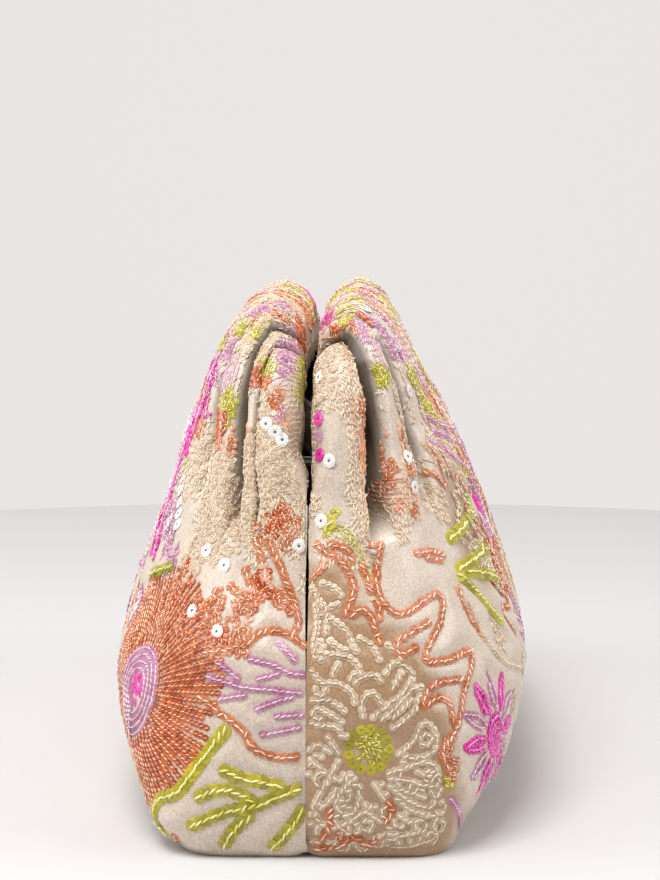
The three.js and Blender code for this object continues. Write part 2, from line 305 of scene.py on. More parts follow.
def cloth_grid(name, side, phase):
    """The outer face of a panel as rows of columns: its points, the points laid flat, and how much painted
    shade each gets down a valley."""
    depth = FRONT_DEPTH if side == FRONT else BACK_DEPTH
    tables = [arch_table(line, line[depth]) for line in LINES]
    valleys = valleys_of(name, phase)
    folds = len(valleys) - 1
    g = []
    for i, (a, b) in enumerate(zip(valleys, valleys[1:])):
        count = ARM_COLUMNS if i in (0, folds - 1) else FOLD_COLUMNS
        start = a[ON_CREST] + a[FLOOR] / CREST_LENGTH
        end = b[ON_CREST] - b[FLOOR] / CREST_LENGTH
        g.append(a[ON_CREST])
        closest_on_flanks = (1 - np.cos(math.pi * np.arange(count + 1) / count)) / 2
        g.extend(start + (end - start) * closest_on_flanks)
    g = np.unique([*g, 1.0])
    rows = np.concatenate([
        k + np.arange(line[MESH_ROWS]) / max(1, line[MESH_ROWS]) for k, line in enumerate(LINES)])
    rows = np.append(rows, len(LINES) - 1.0)
    ground, pushes, lengths, sunk = [], [], [], []
    for row in rows:
        s, push, below = gather(valleys, g, row)
        smooth = smooth_row(tables, s, row)
        at_eye = np.exp(-(((np.abs(s) - EYE_AT) / EYE_WIDTH) ** 2))
        smooth[:, 1] += EYE[name] * at_eye * np.clip((row - SHOULDER) / (NECK - SHOULDER), 0, 1)
        ground.append(smooth)
        # painted shade down the valleys: darker the further the cloth lies below the folds, from a little
        # below the neck up
        open_above = np.clip((row - NECK + SHADE_BELOW_NECK) / SHADE_LINES, 0, 1)
        sunk.append(open_above * np.clip((below - SHADE_STARTS) / (SHADE_ENDS - SHADE_STARTS), 0, 1))
        length = np.interp(row, range(len(LINES)), [table[2] for table in tables])
        to_seam = (1 - np.abs(s)) * length
        pull = SEAM_PULL * np.clip((NECK + PULL_ABOVE_NECK - row) / PULL_LINES, 0, 1)
        pushes.append(push - pull * np.exp(-((to_seam / SEAM_PULL_WIDTH) ** 2)))
        lengths.append(s * length)
    ground, pushes = np.array(ground), np.array(pushes)
    normal = np.cross(np.gradient(ground, axis=0), np.gradient(ground, axis=1))
    normal /= np.maximum(np.linalg.norm(normal, axis=2, keepdims=True), 1e-9)
    points = ground + normal * pushes[:, :, None]
    rises = np.linalg.norm(np.diff(ground, axis=0), axis=2)
    up = np.concatenate([np.zeros((1, len(g))), np.cumsum(rises, axis=0)])
    flat = np.stack([np.array(lengths), up], axis=2)
    for point, out, row in zip(points.reshape(-1, 3), normal.reshape(-1, 3), np.repeat(rows, len(g))):
        if row < BILLOWS_FROM:
            continue
        at = Vector((point[0], point[1] * side, point[2] + PHASE_SHIFT * phase))
        billow = sum(height * noise.noise(at / length) for height, length in BILLOWS)
        crimp = CRIMP[0] * noise.noise(at / CRIMP[1])
        point += out * (billow * min(1, row - BILLOWS_FROM) + crimp)
    points[:, :, 1] = MOUTH_Y + side * (np.maximum(points[:, :, 1], 0) + SEAM_GAP / 2)
    points[:, :, 2] = np.maximum(points[:, :, 2], FLOOR_GAP)
    return points, flat, np.array(sunk)


def cut_of(flat):
    """Width, length and area of a panel's cut, in millimetres."""
    wide = flat[:, -1, 0] - flat[:, 0, 0]
    tall = flat[:, :, 1].mean(axis=1)
    return wide.max(), flat[:, :, 1].max(), np.trapz(wide, tall)


def make_panel(name, side, phase, material):
    """A panel's object, a tree in millimetres to find its outer face, how much painted valley shade each face
    of that has, its points, and the size of its cut."""
    points, flat, sunk = cloth_grid(name, side, phase)
    tall, wide = points.shape[0] - 1, points.shape[1] - 1
    bm = bmesh.new()
    bmesh.ops.create_grid(bm, x_segments=wide, y_segments=tall, size=1)
    in_valley = bm.verts.layers.float.new("in_valley")
    wadded = bm.verts.layers.deform.verify()
    for v in bm.verts:
        i, j = round((v.co.x + 1) / 2 * wide), round((v.co.y + 1) / 2 * tall)
        v.co = points[j, i]
        v[in_valley] = sunk[j, i]
        to_seam = min(flat[j, -1, 0] - abs(flat[j, i, 0]), flat[j, i, 1])
        v[wadded][0] = min(1, max(0, to_seam / SEAM_PRESS))
    for face in bm.faces:
        face.smooth = True
    if side == BACK:
        bmesh.ops.reverse_faces(bm, faces=bm.faces[:])
    bm.normal_update()
    outer_face = BVHTree.FromBMesh(bm)
    valley_shade = [max(v[in_valley] for v in face.verts) for face in bm.faces]
    bmesh.ops.scale(bm, vec=(MM, MM, MM), verts=bm.verts[:])
    mesh = bpy.data.meshes.new(name)
    bm.to_mesh(mesh)
    bm.free()
    panel = bpy.data.objects.new(name + "_satin", mesh)
    bpy.context.scene.collection.objects.link(panel)
    panel.data.materials.append(material)
    thick = panel.modifiers.new("wadding", "SOLIDIFY")
    thick.thickness = WALL * MM
    thick.offset = -1
    thick.vertex_group = panel.vertex_groups.new(name="wadding").name
    thick.thickness_vertex_group = SEAM_WALL / WALL
    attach(panel, "root")
    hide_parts(name)
    return panel, outer_face, valley_shade, points, cut_of(flat)


# Duchesse satin: a warp-faced silk weave with long floats. The eye gets a soft, pearly sheen, a sandy sparkle
# of threads, and small creases. The threads are drawn four times as coarse as they are, or none would show.
# Down the valleys the ground is painted darker, as painted shade. Under open lace it is warmer and darker: a
# beige net ground, with painted shade near the lace.
THREAD_MM = 0.35
SPECKLE_MM = 0.5
CREASE_MM = 4.0

satin, tree, shader = new_material("champagne_satin", {
    "Roughness": 0.36, "Specular IOR Level": 0.75, "Sheen Weight": 0.25, "Sheen Roughness": 0.35,
    "Sheen Tint": linear("#fff3e4"), "Anisotropic": 0.35})
place = add_node(tree, "ShaderNodeTexCoord")
sparkle = add_node(tree, "ShaderNodeTexNoise", inputs={
    "Vector": place.outputs["Object"], "Scale": 1 / (THREAD_MM * MM), "Detail": 2.0})
speckle = add_node(tree, "ShaderNodeTexNoise", inputs={
    "Vector": place.outputs["Object"], "Scale": 1 / (SPECKLE_MM * MM), "Detail": 1.0})
crease = add_node(tree, "ShaderNodeTexNoise", inputs={
    "Vector": place.outputs["Object"], "Scale": 1 / (CREASE_MM * MM), "Detail": 3.0})
mixed = add_node(tree, "ShaderNodeMath", {"operation": "MULTIPLY_ADD"}, {
    0: sparkle.outputs["Fac"], 1: 0.5, 2: speckle.outputs["Fac"]})
tone = add_node(tree, "ShaderNodeValToRGB", inputs={"Fac": mixed.outputs[0]})
tone.color_ramp.elements[0].position = 0.6
tone.color_ramp.elements[0].color = linear("#c8b6a3")
tone.color_ramp.elements[1].position = 0.9
tone.color_ramp.elements[1].color = linear("#e0d2c3")
# painted shade: down the valleys the satin's colour is mixed towards dark brown
valley = add_node(tree, "ShaderNodeAttribute", {"attribute_name": "in_valley"})
shaded = add_node(tree, "ShaderNodeMix", {"data_type": "RGBA"}, {
    "Factor": valley.outputs["Fac"], "A": tone.outputs[0], "B": linear("#41301f")})
# under open lace: a warm beige net ground with painted shade near the lace stitches, multiplied into the
# satin
net_and_shade = add_node(tree, "ShaderNodeAttribute", {"attribute_name": "under_net"})
with_net_and_shade = add_node(tree, "ShaderNodeMix", {"data_type": "RGBA", "blend_type": "MULTIPLY"}, {
    "Factor": net_and_shade.outputs["Fac"], "A": shaded.outputs["Result"], "B": linear("#d0b497")})
tree.links.new(with_net_and_shade.outputs["Result"], shader.inputs["Base Color"])
relief = add_node(tree, "ShaderNodeMath", {"operation": "MULTIPLY_ADD"}, {
    0: crease.outputs["Fac"], 1: 3.0, 2: sparkle.outputs["Fac"]})
bump = add_node(tree, "ShaderNodeBump", inputs={
    "Height": relief.outputs[0], "Strength": 0.3, "Distance": 0.15 * MM})
tree.links.new(bump.outputs[0], shader.inputs["Normal"])

# name, side of the mouth's plane, phase of its folds
PANELS = [("front_panel", FRONT, 0.4), ("back_panel", BACK, 1.9)]
panels, cloth, valley_shades, grids, cuts = {}, {}, {}, {}, {}
for name, side, phase in PANELS:
    made = make_panel(name, side, phase, satin)
    panels[side], cloth[side], valley_shades[side], grids[side], cuts[side] = made


# Stitches. The embroidery is sewn a stitch at a time: a small sequin, tipped up against the next one in its
# chain, with a bright thread slanting over it, a larger ring sequin that lies flat, or bare floss.
STITCH_TIP = math.radians(10)
STITCH_SLANT = math.radians(13)
SEQUIN_SIDES = 8
THREAD_GIRTH = 0.21  # shares of a stitch's size
CHAIN_THREAD_GIRTH = 0.15
FIBRE_GIRTH = 0.07
# kind of stitch: its shape, the sequin's diameter or the thread's length in millimetres, the distance to the
# next one, the least distance to any other as a share of their sizes put together, and how unevenly it lies,
# in radians
STITCHES = {
    "chain": ("chain", 2.7, 1.7, 0.27, 0.42),
    "fine_chain": ("chain", 2.5, 1.5, 0.25, 0.16),
    "leaf": ("chain", 4.0, 2.0, 0.2, 0.2),
    "ray": ("chain", 1.9, 1.4, 0.19, 0.12),
    "sand": ("chain", 1.8, 1.35, 0.2, 0.4),
    "lace": ("threaded_ring", 2.2, 1.5, 0.26, 0.28),
    "ring": ("ring", 2.8, 2.5, 0.31, 0.3),
    "paillette": ("ring", 3.8, 3.2, 0.31, 0.2),
    "running": ("thread", 2.1, 1.8, 0.17, 0.24),
    "loose": ("fibre", 3.4, 3.0, 0.0, 1.1),
}
PITCH = 2  # the column with the distance to the next one
BARE_THREAD = ("running", "loose")


def add_thread(bm, length, height, slant=STITCH_SLANT, girth=THREAD_GIRTH):
    """Adds a thread to a stitch, slanting over it, as its second material."""
    thread = bmesh.ops.create_icosphere(bm, subdivisions=1, radius=0.5)["verts"]
    bmesh.ops.scale(bm, verts=thread, vec=(length, girth, girth))
    bmesh.ops.rotate(bm, verts=thread, matrix=Matrix.Rotation(slant, 3, "Z"))
    bmesh.ops.translate(bm, verts=thread, vec=(0, 0, height))
    for face in {f for v in thread for f in v.link_faces}:
        face.material_index = 1
        face.smooth = True


def chain_stitch():
    """A sequin of diameter 1 with its thread, sewn on the plane z = 0 and running along x."""
    bm = bmesh.new()
    bmesh.ops.create_cone(bm, cap_ends=True, segments=SEQUIN_SIDES, radius1=0.5, radius2=0.43, depth=0.06)
    bmesh.ops.rotate(bm, verts=bm.verts[:], matrix=Matrix.Rotation(-STITCH_TIP, 3, "Y"))
    bmesh.ops.translate(bm, verts=bm.verts[:], vec=(0, 0, 0.12))
    add_thread(bm, length=0.74, height=0.2, girth=CHAIN_THREAD_GIRTH)
    return bm


def ring_stitch(threaded=False):
    """A ring sequin of diameter 1 on the plane z = 0: a low wedge of film, turned round its hole."""
    bm = bmesh.new()
    section = [bm.verts.new(at) for at in ((0.5, 0, 0.02), (0.3, 0, 0.075), (0.11, 0, 0.05))]
    edges = [bm.edges.new((a, b)) for a, b in zip(section, section[1:] + section[:1])]
    bmesh.ops.spin(
        bm, geom=section + edges, cent=(0, 0, 0), axis=(0, 0, 1), angle=2 * math.pi, steps=SEQUIN_SIDES,
        use_merge=True)
    bmesh.ops.recalc_face_normals(bm, faces=bm.faces[:])
    bmesh.ops.rotate(bm, verts=bm.verts[:], matrix=Matrix.Rotation(-STITCH_TIP / 2, 3, "Y"))
    bmesh.ops.translate(bm, verts=bm.verts[:], vec=(0, 0, 0.06))
    if threaded:
        add_thread(bm, length=0.8, height=0.24)
    return bm


def running_stitch(girth=THREAD_GIRTH):
    """A stitch of bare thread of length 1, on the plane z = 0 and along x."""
    bm = bmesh.new()
    add_thread(bm, length=1.0, height=0.06, slant=0, girth=girth)
    return bm


# each stitch as arrays, of which thousands of copies are laid at once
shapes = {}
for name, bm in (
    ("chain", chain_stitch()), ("ring", ring_stitch()), ("threaded_ring", ring_stitch(threaded=True)),
    ("thread", running_stitch()), ("fibre", running_stitch(girth=FIBRE_GIRTH))):
    bm.verts.index_update()
    shapes[name] = (
        np.array([v.co for v in bm.verts]),
        [[v.index for v in f.verts] for f in bm.faces],
        [f.material_index for f in bm.faces],
        [f.smooth for f in bm.faces],
    )
    bm.free()


# Sewing. A line of stitches follows the cloth. It leaves the side seam, the floor and the valleys bare, and a
# stitch isn't sewn where another one already is.
CELL = 3.0  # stitches are kept by cells of this size, so that neighbours are found quickly
SEAM_MARGIN = 0.7
SEAM_TOP = 88.0  # height of the hinge, where the side seam ends
FLOOR_MARGIN = 1.9
MOST_SHADE = 0.6  # of a valley in which the needle still comes
LOST = 6.0  # a line's point is dropped where the cloth is further off than this
TILT = 0.65  # how far stitches tip over, as a share of how far they turn

rng = np.random.default_rng(11)
taken = {}
sewn = {}


def cell_of(spot):
    """The cell that a spot is in."""
    return tuple(int(c // CELL) for c in spot)


def neighbours(spot, cells):
    """Place and size of each stitch that is up to some cells away from a spot."""
    home = cell_of(spot)
    wide = 2 * cells + 1
    for step in np.ndindex(wide, wide, wide):
        yield from taken.get(tuple(h + s - cells for h, s in zip(home, step)), ())


def is_free(spot, size, crowding):
    """Whether a stitch fits at a spot. If so, the spot is taken."""
    for other, other_size in neighbours(spot, 1):
        if (spot - other).length < crowding * (size + other_size):
            return False
    taken.setdefault(cell_of(spot), []).append((spot, size))
    return True


def sew(colour, kind, side, points):
    """Sews stitches of a colour on a panel, one at each of the points that lie along a line."""
    _, size, _, crowding, _ = STITCHES[kind]
    for k, point in enumerate(points):
        along = points[min(k + 1, len(points) - 1)] - points[max(k - 1, 0)]
        spot, normal, face, off = cloth[side].find_nearest(point)
        at_seam = abs(spot.y - MOUTH_Y) < SEAM_MARGIN and spot.z < SEAM_TOP
        if off > LOST or at_seam or spot.z < FLOOR_MARGIN or valley_shades[side][face] > MOST_SHADE:
            continue
        if crowding and not is_free(spot, size, crowding):
            continue
        along -= normal * along.dot(normal)
        if along.length < 1e-6:
            along = normal.orthogonal()
        piece = colour + ("_threads" if kind in BARE_THREAD else "_sequins")
        sewn.setdefault((side, piece), {}).setdefault(kind, []).append((spot, normal, along.normalized()))


def turned(point):
    """A point turned half round about the upright line through the middle of the mouth."""
    return Vector((-point.x, 2 * MOUTH_Y - point.y, point.z))


def sew_both(colour, kind, side, points):
    """Sews a line on one panel, and again on the other panel, turned half round."""
    sew(colour, kind, side, points)
    sew(colour, kind, -side, [turned(p) for p in points])


def even_line(points, pitch):
    """Points at even steps along a smooth curve through the given points."""
    p = np.array([points[0], *points, points[-1]], float)
    u = np.linspace(0, 1, 10, endpoint=False)[:, None]
    parts = [
        0.5 * (2 * b + (c - a) * u + (2 * a - 5 * b + 4 * c - d) * u**2 + (3 * b - a - 3 * c + d) * u**3)
        for a, b, c, d in zip(p, p[1:], p[2:], p[3:])
    ]
    curve = np.concatenate([*parts, p[-1:]])
    run = np.concatenate([[0], np.cumsum(np.linalg.norm(np.diff(curve, axis=0), axis=1))])
    at = np.arange(0, run[-1] + 0.01 * pitch, pitch)
    return np.stack([np.interp(at, run, curve[:, axis]) for axis in range(curve.shape[1])], axis=1)


# Chart of the end. The chains that the photograph shows on the near end, as points in its pixels. Each line
# is followed from the camera on to the cloth, so it runs over folds as the photograph's does.
PX_STEP = 2.0
BREAK = 7.0  # a line is broken where the cloth behind it jumps further than this


def seen_at(px, py):
    """Side, point and normal of the cloth that the camera sees at a pixel."""
    to_right, to_up = (px - PICTURE[0] / 2) / FOCAL_PX, (PICTURE[1] / 2 - py) / FOCAL_PX
    ray = (camera_looks + camera_right * to_right + camera_up * to_up).normalized()
    hits = []
    for side, outer_face in cloth.items():
        point, normal, _, away = outer_face.ray_cast(CAMERA_AT, ray)
        if point is not None:
            hits.append((away, side, point, normal))
    return min(hits)[1:] if hits else None


def sew_seen(colour, kind, pixels):
    """Sews a chain along a line of the photograph's pixels."""
    pieces, last = [], None
    for px, py in even_line(pixels, PX_STEP):
        seen = seen_at(px, py)
        if seen is None:
            last = None
            continue
        side, point, _ = seen
        if last is None or side != last[0] or (point - last[1]).length > BREAK:
            pieces.append((side, []))
        pieces[-1][1].append(point)
        last = (side, point)
    pitch = STITCHES[kind][PITCH]
    for side, points in pieces:
        if len(points) > 1:
            sew_both(colour, kind, side, [Vector(p) for p in even_line(points, pitch)])


# Single paillettes of the end, by pixel.
END_PAILLETTES = {
    "white": [
        (366, 309), (410, 391), (408, 456), (415, 487), (329, 461), (321, 521), (305, 537), (299, 546),
        (266, 424), (275, 432), (282, 440), (180, 490), (179, 502), (178, 513), (177, 524), (206, 550),
        (224, 565), (191, 610), (216, 631), (260, 394), (318, 377),
    ],
    "magenta": [(318, 418), (319, 455), (317, 447)],
    "lilac": [(318, 436)],
}
for colour, pixels in END_PAILLETTES.items():
    for px, py in pixels:
        seen = seen_at(px, py)
        if seen:
            sew_both(colour, "paillette", seen[0], [seen[1]])

# Chains of sequins: leaves, fronds, branches and lace.
END_CHAINS = {
    "lilac": [
        [(208, 677), (241, 687), (269, 690), (306, 694)],
        [(218, 664), (241, 681)],
        [(220, 699), (245, 695)],
        [(251, 659), (273, 665), (290, 673), (307, 675)],
        [(279, 642), (290, 654), (298, 664)],
        [(259, 679), (283, 673)],
        [(257, 709), (279, 701), (294, 697)],
        [(277, 717), (306, 715)],
        [(263, 735), (285, 731), (306, 726)],
        [(452, 800), (461, 815), (458, 838), (440, 848)],
        [(430, 440), (450, 453), (470, 470)],
        [(432, 430), (448, 436), (462, 445)],
        [(426, 415), (440, 424), (456, 428)],
    ],
    "magenta": [
        [(212, 362), (204, 390), (194, 418), (183, 452), (171, 492), (161, 526), (152, 560)],
        [(216, 362), (208, 390), (198, 418), (186, 454)],
        [(165, 500), (157, 526), (149, 556)],
    ],
    "lime": [
        [(154, 822), (168, 838), (176, 850)],
        [(306, 786), (279, 797), (253, 807), (224, 813), (188, 828)],
        [(224, 771), (243, 779), (261, 782), (283, 788)],
        [(198, 797), (216, 791), (232, 791), (253, 803)],
        [(224, 846), (234, 830), (253, 815)],
        [(269, 852), (288, 832), (302, 811), (307, 791)],
        [(224, 731), (208, 752), (192, 773), (177, 793), (157, 801), (154, 822), (165, 842)],
        [(150, 574), (162, 569), (173, 566)],
        [(308, 525), (322, 523), (334, 524)],
    ],
    "peach": [
        [(200, 697), (218, 712), (232, 722), (246, 735), (252, 748), (272, 757), (305, 757)],
        [(205, 652), (222, 650), (248, 642), (262, 632), (284, 632), (307, 646)],
        [(270, 545), (280, 565), (288, 585), (296, 605), (300, 620), (295, 632)],
        [(255, 540), (262, 560), (266, 580)],
        [(245, 570), (252, 590)],
        [(230, 585), (245, 600)],
        [(215, 590), (205, 620)],
        [(317, 544), (326, 554), (322, 566), (309, 578)],
        [(326, 554), (338, 558), (354, 585), (346, 617), (362, 609), (373, 620), (381, 646)],
        [(381, 544), (377, 566), (379, 593), (391, 609), (405, 613), (436, 594), (444, 601), (442, 622)],
        [(442, 622), (426, 658), (448, 660), (471, 650), (473, 662), (464, 699), (460, 724), (444, 752),
         (450, 771)],
        [(430, 622), (409, 634), (399, 640), (401, 654), (421, 645)],
        [(466, 679), (440, 683), (428, 691), (424, 709), (436, 699), (450, 701), (456, 734)],
        [(460, 587), (466, 607), (480, 630)],
        [(418, 553), (433, 551), (448, 557)],
        [(419, 556), (432, 558), (447, 559)],
        [(330, 811), (328, 832), (317, 844)],
        [(317, 850), (338, 848), (354, 838), (366, 846), (381, 840)],
        [(174, 838), (180, 850), (196, 856), (230, 857)],
        [(386, 822), (392, 812), (388, 800)],
        [(362, 566), (372, 590), (380, 612), (376, 632)],
        [(330, 545), (345, 548), (352, 562)],
        [(372, 545), (376, 580), (384, 604), (400, 612)],
    ],
    "cream": [[(470, 600), (480, 625), (492, 645), (508, 662), (524, 667)]],
    "ecru": [
        [(322, 583), (336, 589), (344, 601)],
        [(311, 587), (318, 600), (326, 612), (326, 640)],
        [(314, 605), (316, 625), (313, 645), (316, 662)],
        [(311, 611), (330, 618), (346, 630), (352, 643), (360, 655)],
        [(310, 648), (326, 654), (345, 656), (357, 664), (360, 673)],
        [(333, 675), (338, 664), (345, 656)],
        [(360, 638), (373, 646), (381, 662)],
        [(384, 640), (396, 652), (403, 662)],
        [(311, 671), (322, 683), (336, 683), (350, 691), (356, 701), (351, 704)],
        [(356, 683), (364, 677), (375, 675), (381, 681), (379, 688)],
        [(381, 683), (387, 671), (397, 662), (411, 671), (413, 679), (403, 693), (383, 709)],
        [(402, 672), (392, 690)],
        [(311, 701), (328, 701), (342, 709), (347, 716)],
        [(363, 716), (362, 703), (371, 692), (381, 703), (379, 713), (371, 720)],
        [(383, 720), (395, 709), (411, 691), (422, 687), (423, 695), (413, 713), (391, 730)],
        [(394, 717), (412, 700)],
        [(311, 724), (326, 726), (338, 728), (344, 738), (352, 732)],
        [(328, 738), (336, 750), (340, 756)],
        [(309, 750), (316, 746), (326, 750), (340, 758)],
        [(310, 760), (320, 769), (328, 777)],
        [(399, 754), (413, 742), (424, 724), (434, 728), (438, 742), (432, 754), (416, 758), (399, 754)],
        [(389, 773), (403, 769), (424, 762), (438, 769), (438, 785), (424, 785), (407, 781), (390, 779)],
        [(391, 787), (403, 797), (418, 805), (432, 807), (434, 795), (424, 785)],
        [(375, 785), (383, 797), (395, 811), (409, 822), (424, 820)],
        [(354, 779), (342, 791), (336, 805), (348, 816), (358, 803), (360, 785)],
        [(338, 762), (328, 781), (318, 797), (313, 811), (326, 805), (338, 785)],
        [(350, 822), (365, 812), (378, 820), (392, 830)],
        [(311, 842), (330, 844), (354, 844), (371, 844), (385, 834), (403, 836), (424, 830)],
        [(178, 846), (200, 852), (232, 853), (268, 853), (304, 852)],
        [(388, 846), (404, 848), (420, 844), (436, 838)],
        [(316, 800), (328, 814), (340, 828), (352, 836)],
        [(362, 800), (372, 814), (384, 824), (400, 834)],
        [(398, 800), (412, 811), (428, 815)],
        [(404, 762), (420, 773), (434, 777)],
        [(318, 821), (331, 829), (345, 823)],
        [(402, 790), (415, 795), (430, 798)],
        [(346, 690), (352, 676), (362, 668)],
        [(330, 640), (340, 648), (352, 652)],
        [(322, 600), (330, 606), (338, 604)],
        [(318, 636), (322, 646), (330, 652)],
        [(326, 712), (336, 718), (345, 726)],
    ],
}
# kind of stitch that each colour's chains have
END_KINDS = {
    "lilac": "fine_chain", "magenta": "fine_chain", "lime": "leaf", "peach": "chain", "cream": "fine_chain",
    "ecru": "lace"}
for colour, lines in END_CHAINS.items():
    for line in lines:
        sew_seen(colour, END_KINDS[colour], line)
for line in END_CHAINS["peach"]:
    sew_seen("peach", "loose", line)  # its floss has frayed

# Thin lines of floss about the folds of the end.
END_FLOSS = {
    "peach": [
        [(350, 396), (360, 450), (366, 520), (372, 556)],
        [(354, 398), (364, 450), (370, 520)],
        [(306, 358), (312, 344), (325, 338), (338, 340), (347, 352), (352, 380)],
        [(247, 360), (245, 400), (246, 440), (245, 480)],
        [(455, 586), (466, 607), (480, 634), (496, 650)],
        [(402, 420), (410, 455), (416, 490), (421, 520)],
        [(398, 424), (405, 460), (411, 500)],
        [(366, 480), (385, 483), (410, 480)],
        [(368, 485), (388, 488), (414, 486)],
        [(369, 490), (390, 493), (418, 492)],
        [(371, 495), (392, 498), (421, 496)],
        [(373, 500), (392, 503), (418, 501)],
        [(375, 505), (390, 508), (408, 505)],
    ],
    "orange": [[(365, 478), (384, 480), (408, 478)], [(370, 493), (390, 496), (419, 494)]],
    "lime": [
        [(334, 524), (350, 531), (364, 555), (375, 588)],
        [(334, 527), (350, 535), (362, 557), (372, 588)],
        [(336, 530), (350, 539), (360, 560), (369, 588)],
        [(338, 534), (350, 544), (359, 564), (366, 588)],
    ],
}
for colour, lines in END_FLOSS.items():
    for line in lines:
        sew_seen(colour, "running", line)

# Round loops of lace, by the pixel of their centres.
LOOP_PX = 5.5
END_LOOPS = [
    (322, 806), (333, 820), (321, 833), (354, 829), (367, 826), (378, 842), (387, 813), (399, 822),
    (412, 814), (421, 827), (405, 842), (431, 820), (432, 838), (419, 795), (404, 787), (430, 776),
    (414, 764), (320, 780), (319, 752), (345, 796), (426, 740), (318, 655), (320, 690), (318, 714),
    (424, 700), (313, 820), (345, 812), (343, 846), (362, 846), (392, 835), (415, 840), (440, 826),
    (440, 808), (436, 790), (365, 838), (338, 775), (395, 775), (410, 802), (372, 812), (352, 780),
    (384, 790), (312, 770),
]
for px, py in END_LOOPS:
    sew_seen("ecru", "lace", [
        (px + LOOP_PX * math.cos(a), py + LOOP_PX * math.sin(a)) for a in np.linspace(0, 2 * math.pi, 9)])


# Motifs. The garden flowers that repeat over the cloth. Each is drawn flat, in millimetres about its own
# centre, as lines of a colour and a kind of stitch, and is then laid on the cloth, measured from one spot.
RING_POINTS = 12
EYE_RING_GAP = 1.9  # between the rings of a sunburst's eye
RAY_GAP = 1.5  # between its rays, half way out
LACE_PETALS = 11
FINGER = 10.0  # width of a finger of coral
SPECKLE_STEP = 1.7
SPECKLE_STEPS = 2.2  # of a patch, by the square of its radius
SPECKLE_WANDER = 0.7  # radians
SPECKLE_TURN_BACK = 0.5
WALK_STEP = 2.5  # of a walk over the cloth, which follows its slope


def polar(radius, angle):
    """A point by its distance and angle from the centre."""
    return (radius * math.cos(angle), radius * math.sin(angle))


def ring_of(radius):
    """Points round a circle, closed."""
    return [polar(radius, angle) for angle in np.linspace(0, 2 * math.pi, RING_POINTS + 1)]


def sunburst(radius):
    """A round flower with close-set orange rays about a lilac eye."""
    eye = 0.34 * radius
    lines = [("magenta", "ring", ring_of(r)) for r in (0.03 * radius, 0.1 * radius)]
    lines += [("lilac", "fine_chain", ring_of(r)) for r in np.arange(0.17 * radius, eye, EYE_RING_GAP)]
    rays = round(2 * math.pi * 0.62 * radius / RAY_GAP)
    for i in range(rays):
        angle = 2 * math.pi * i / rays
        tip = radius * (0.88 + 0.12 * abs(math.sin(3.5 * angle)))
        start = eye + (1.0 if i % 2 else 4.5)
        lines.append(("orange", "ray", [polar(start, angle), polar(tip, angle)]))
    return lines


def lace_flower(radius):
    """An ecru flower of open loops, like bobbin lace, about a lime eye."""
    lines = [("lime", "ring", ring_of(0.23 * radius)), *speckle_patch(0.2 * radius, "lime")]
    loop = [(0.3, 0), (0.45, 0.36), (0.6, 0.42), (0.72, 0), (0.6, -0.42), (0.45, -0.36), (0.3, 0)]
    scallop = [(0.7, 0), (0.9, 0.14), (1.0, 0.5), (0.9, 0.86), (0.7, 1)]
    edging = [(1.0, 0.5), (1.16, 0.66), (1.24, 1.0), (1.16, 1.34), (1.0, 1.5)]
    step = 2 * math.pi / LACE_PETALS
    for i in range(LACE_PETALS):
        for line in (loop, scallop, edging):
            lines.append(("ecru", "lace", [polar(r * radius, i * step + a * step) for r, a in line]))
    return lines


def daisy(radius):
    """A magenta flower with a close-set eye and narrow petals, every second one lilac."""
    lines = [("magenta", "fine_chain", ring_of(share * radius)) for share in (0.02, 0.11, 0.2, 0.29)]
    petals = 12
    for i in range(petals):
        at = 2 * math.pi * i / petals
        for bend in (-0.12, 0.12):
            lines.append(("lilac" if i % 2 else "magenta", "fine_chain", [
                polar(0.34 * radius, at), polar(0.65 * radius, at + bend), polar(radius, at)]))
    return lines


def fern(length):
    """A lilac frond: a stem, and side shoots that get shorter towards its tip."""
    lines = [("lilac", "fine_chain", [(0, 0), (0.5 * length, 0.06 * length), (length, 0)])]
    for k in range(1, 6):
        at = k * length / 6
        shoot = 0.5 * (length - at) + 3
        for way in (-1, 1):
            tip = (at + 0.75 * shoot, way * 0.66 * shoot)
            lines.append(("lilac", "fine_chain", [(at, 0.05 * length), tip]))
    return lines


def sprig(length):
    """A lime spray of blades that part from one stem."""
    lines = [("lime", "chain", [(0, 0), (0.4 * length, 0.04 * length), (length, 0)])]
    for at, turn, blade in ((0.2, 0.7, 0.5), (0.25, -0.7, 0.55), (0.5, 0.6, 0.45), (0.55, -0.6, 0.4)):
        start = np.array((at * length, 0.03 * length))
        tip = start + blade * length * np.array((math.cos(turn), math.sin(turn)))
        bulge = (start + tip) / 2 + 0.07 * length * np.array((-math.sin(turn), math.cos(turn)))
        lines.append(("lime", "chain", [start, bulge, tip]))
        lines.append(("lime", "fine_chain", [start, tip]))
    return lines


def coral(length):
    """A peach outline that runs in and out of round fingers, as of a branch of coral."""
    up_finger = ((0, 0), (0.1, 0.5), (0.18, 0.86), (0.36, 1.0))
    down_finger = ((0.54, 0.86), (0.58, 0.5), (0.68, 0.1), (0.86, -0.06))
    points = []
    for k in range(max(2, round(length / FINGER))):
        reach = 11 + 4 * math.sin(2.3 * k + length)
        points += [((k + along) * FINGER, up * reach) for along, up in up_finger + down_finger]
    return [("peach", "chain", points)]


def blossom(radius):
    """A lilac flower with five round petals about a white eye."""
    lines = [("white", "paillette", [(0, 0), (0.1, 0)])]
    petals = 5
    for i in range(petals):
        at = 2 * math.pi * i / petals
        loop = ((0.25, 0), (0.6, 0.5), (0.92, 0.4), (1.0, 0), (0.92, -0.4), (0.6, -0.5), (0.25, 0))
        lines.append(("lilac", "fine_chain", [polar(r * radius, at + a) for r, a in loop]))
        lines.append(("lilac", "fine_chain", [polar(0.4 * radius, at), polar(0.8 * radius, at)]))
    return lines


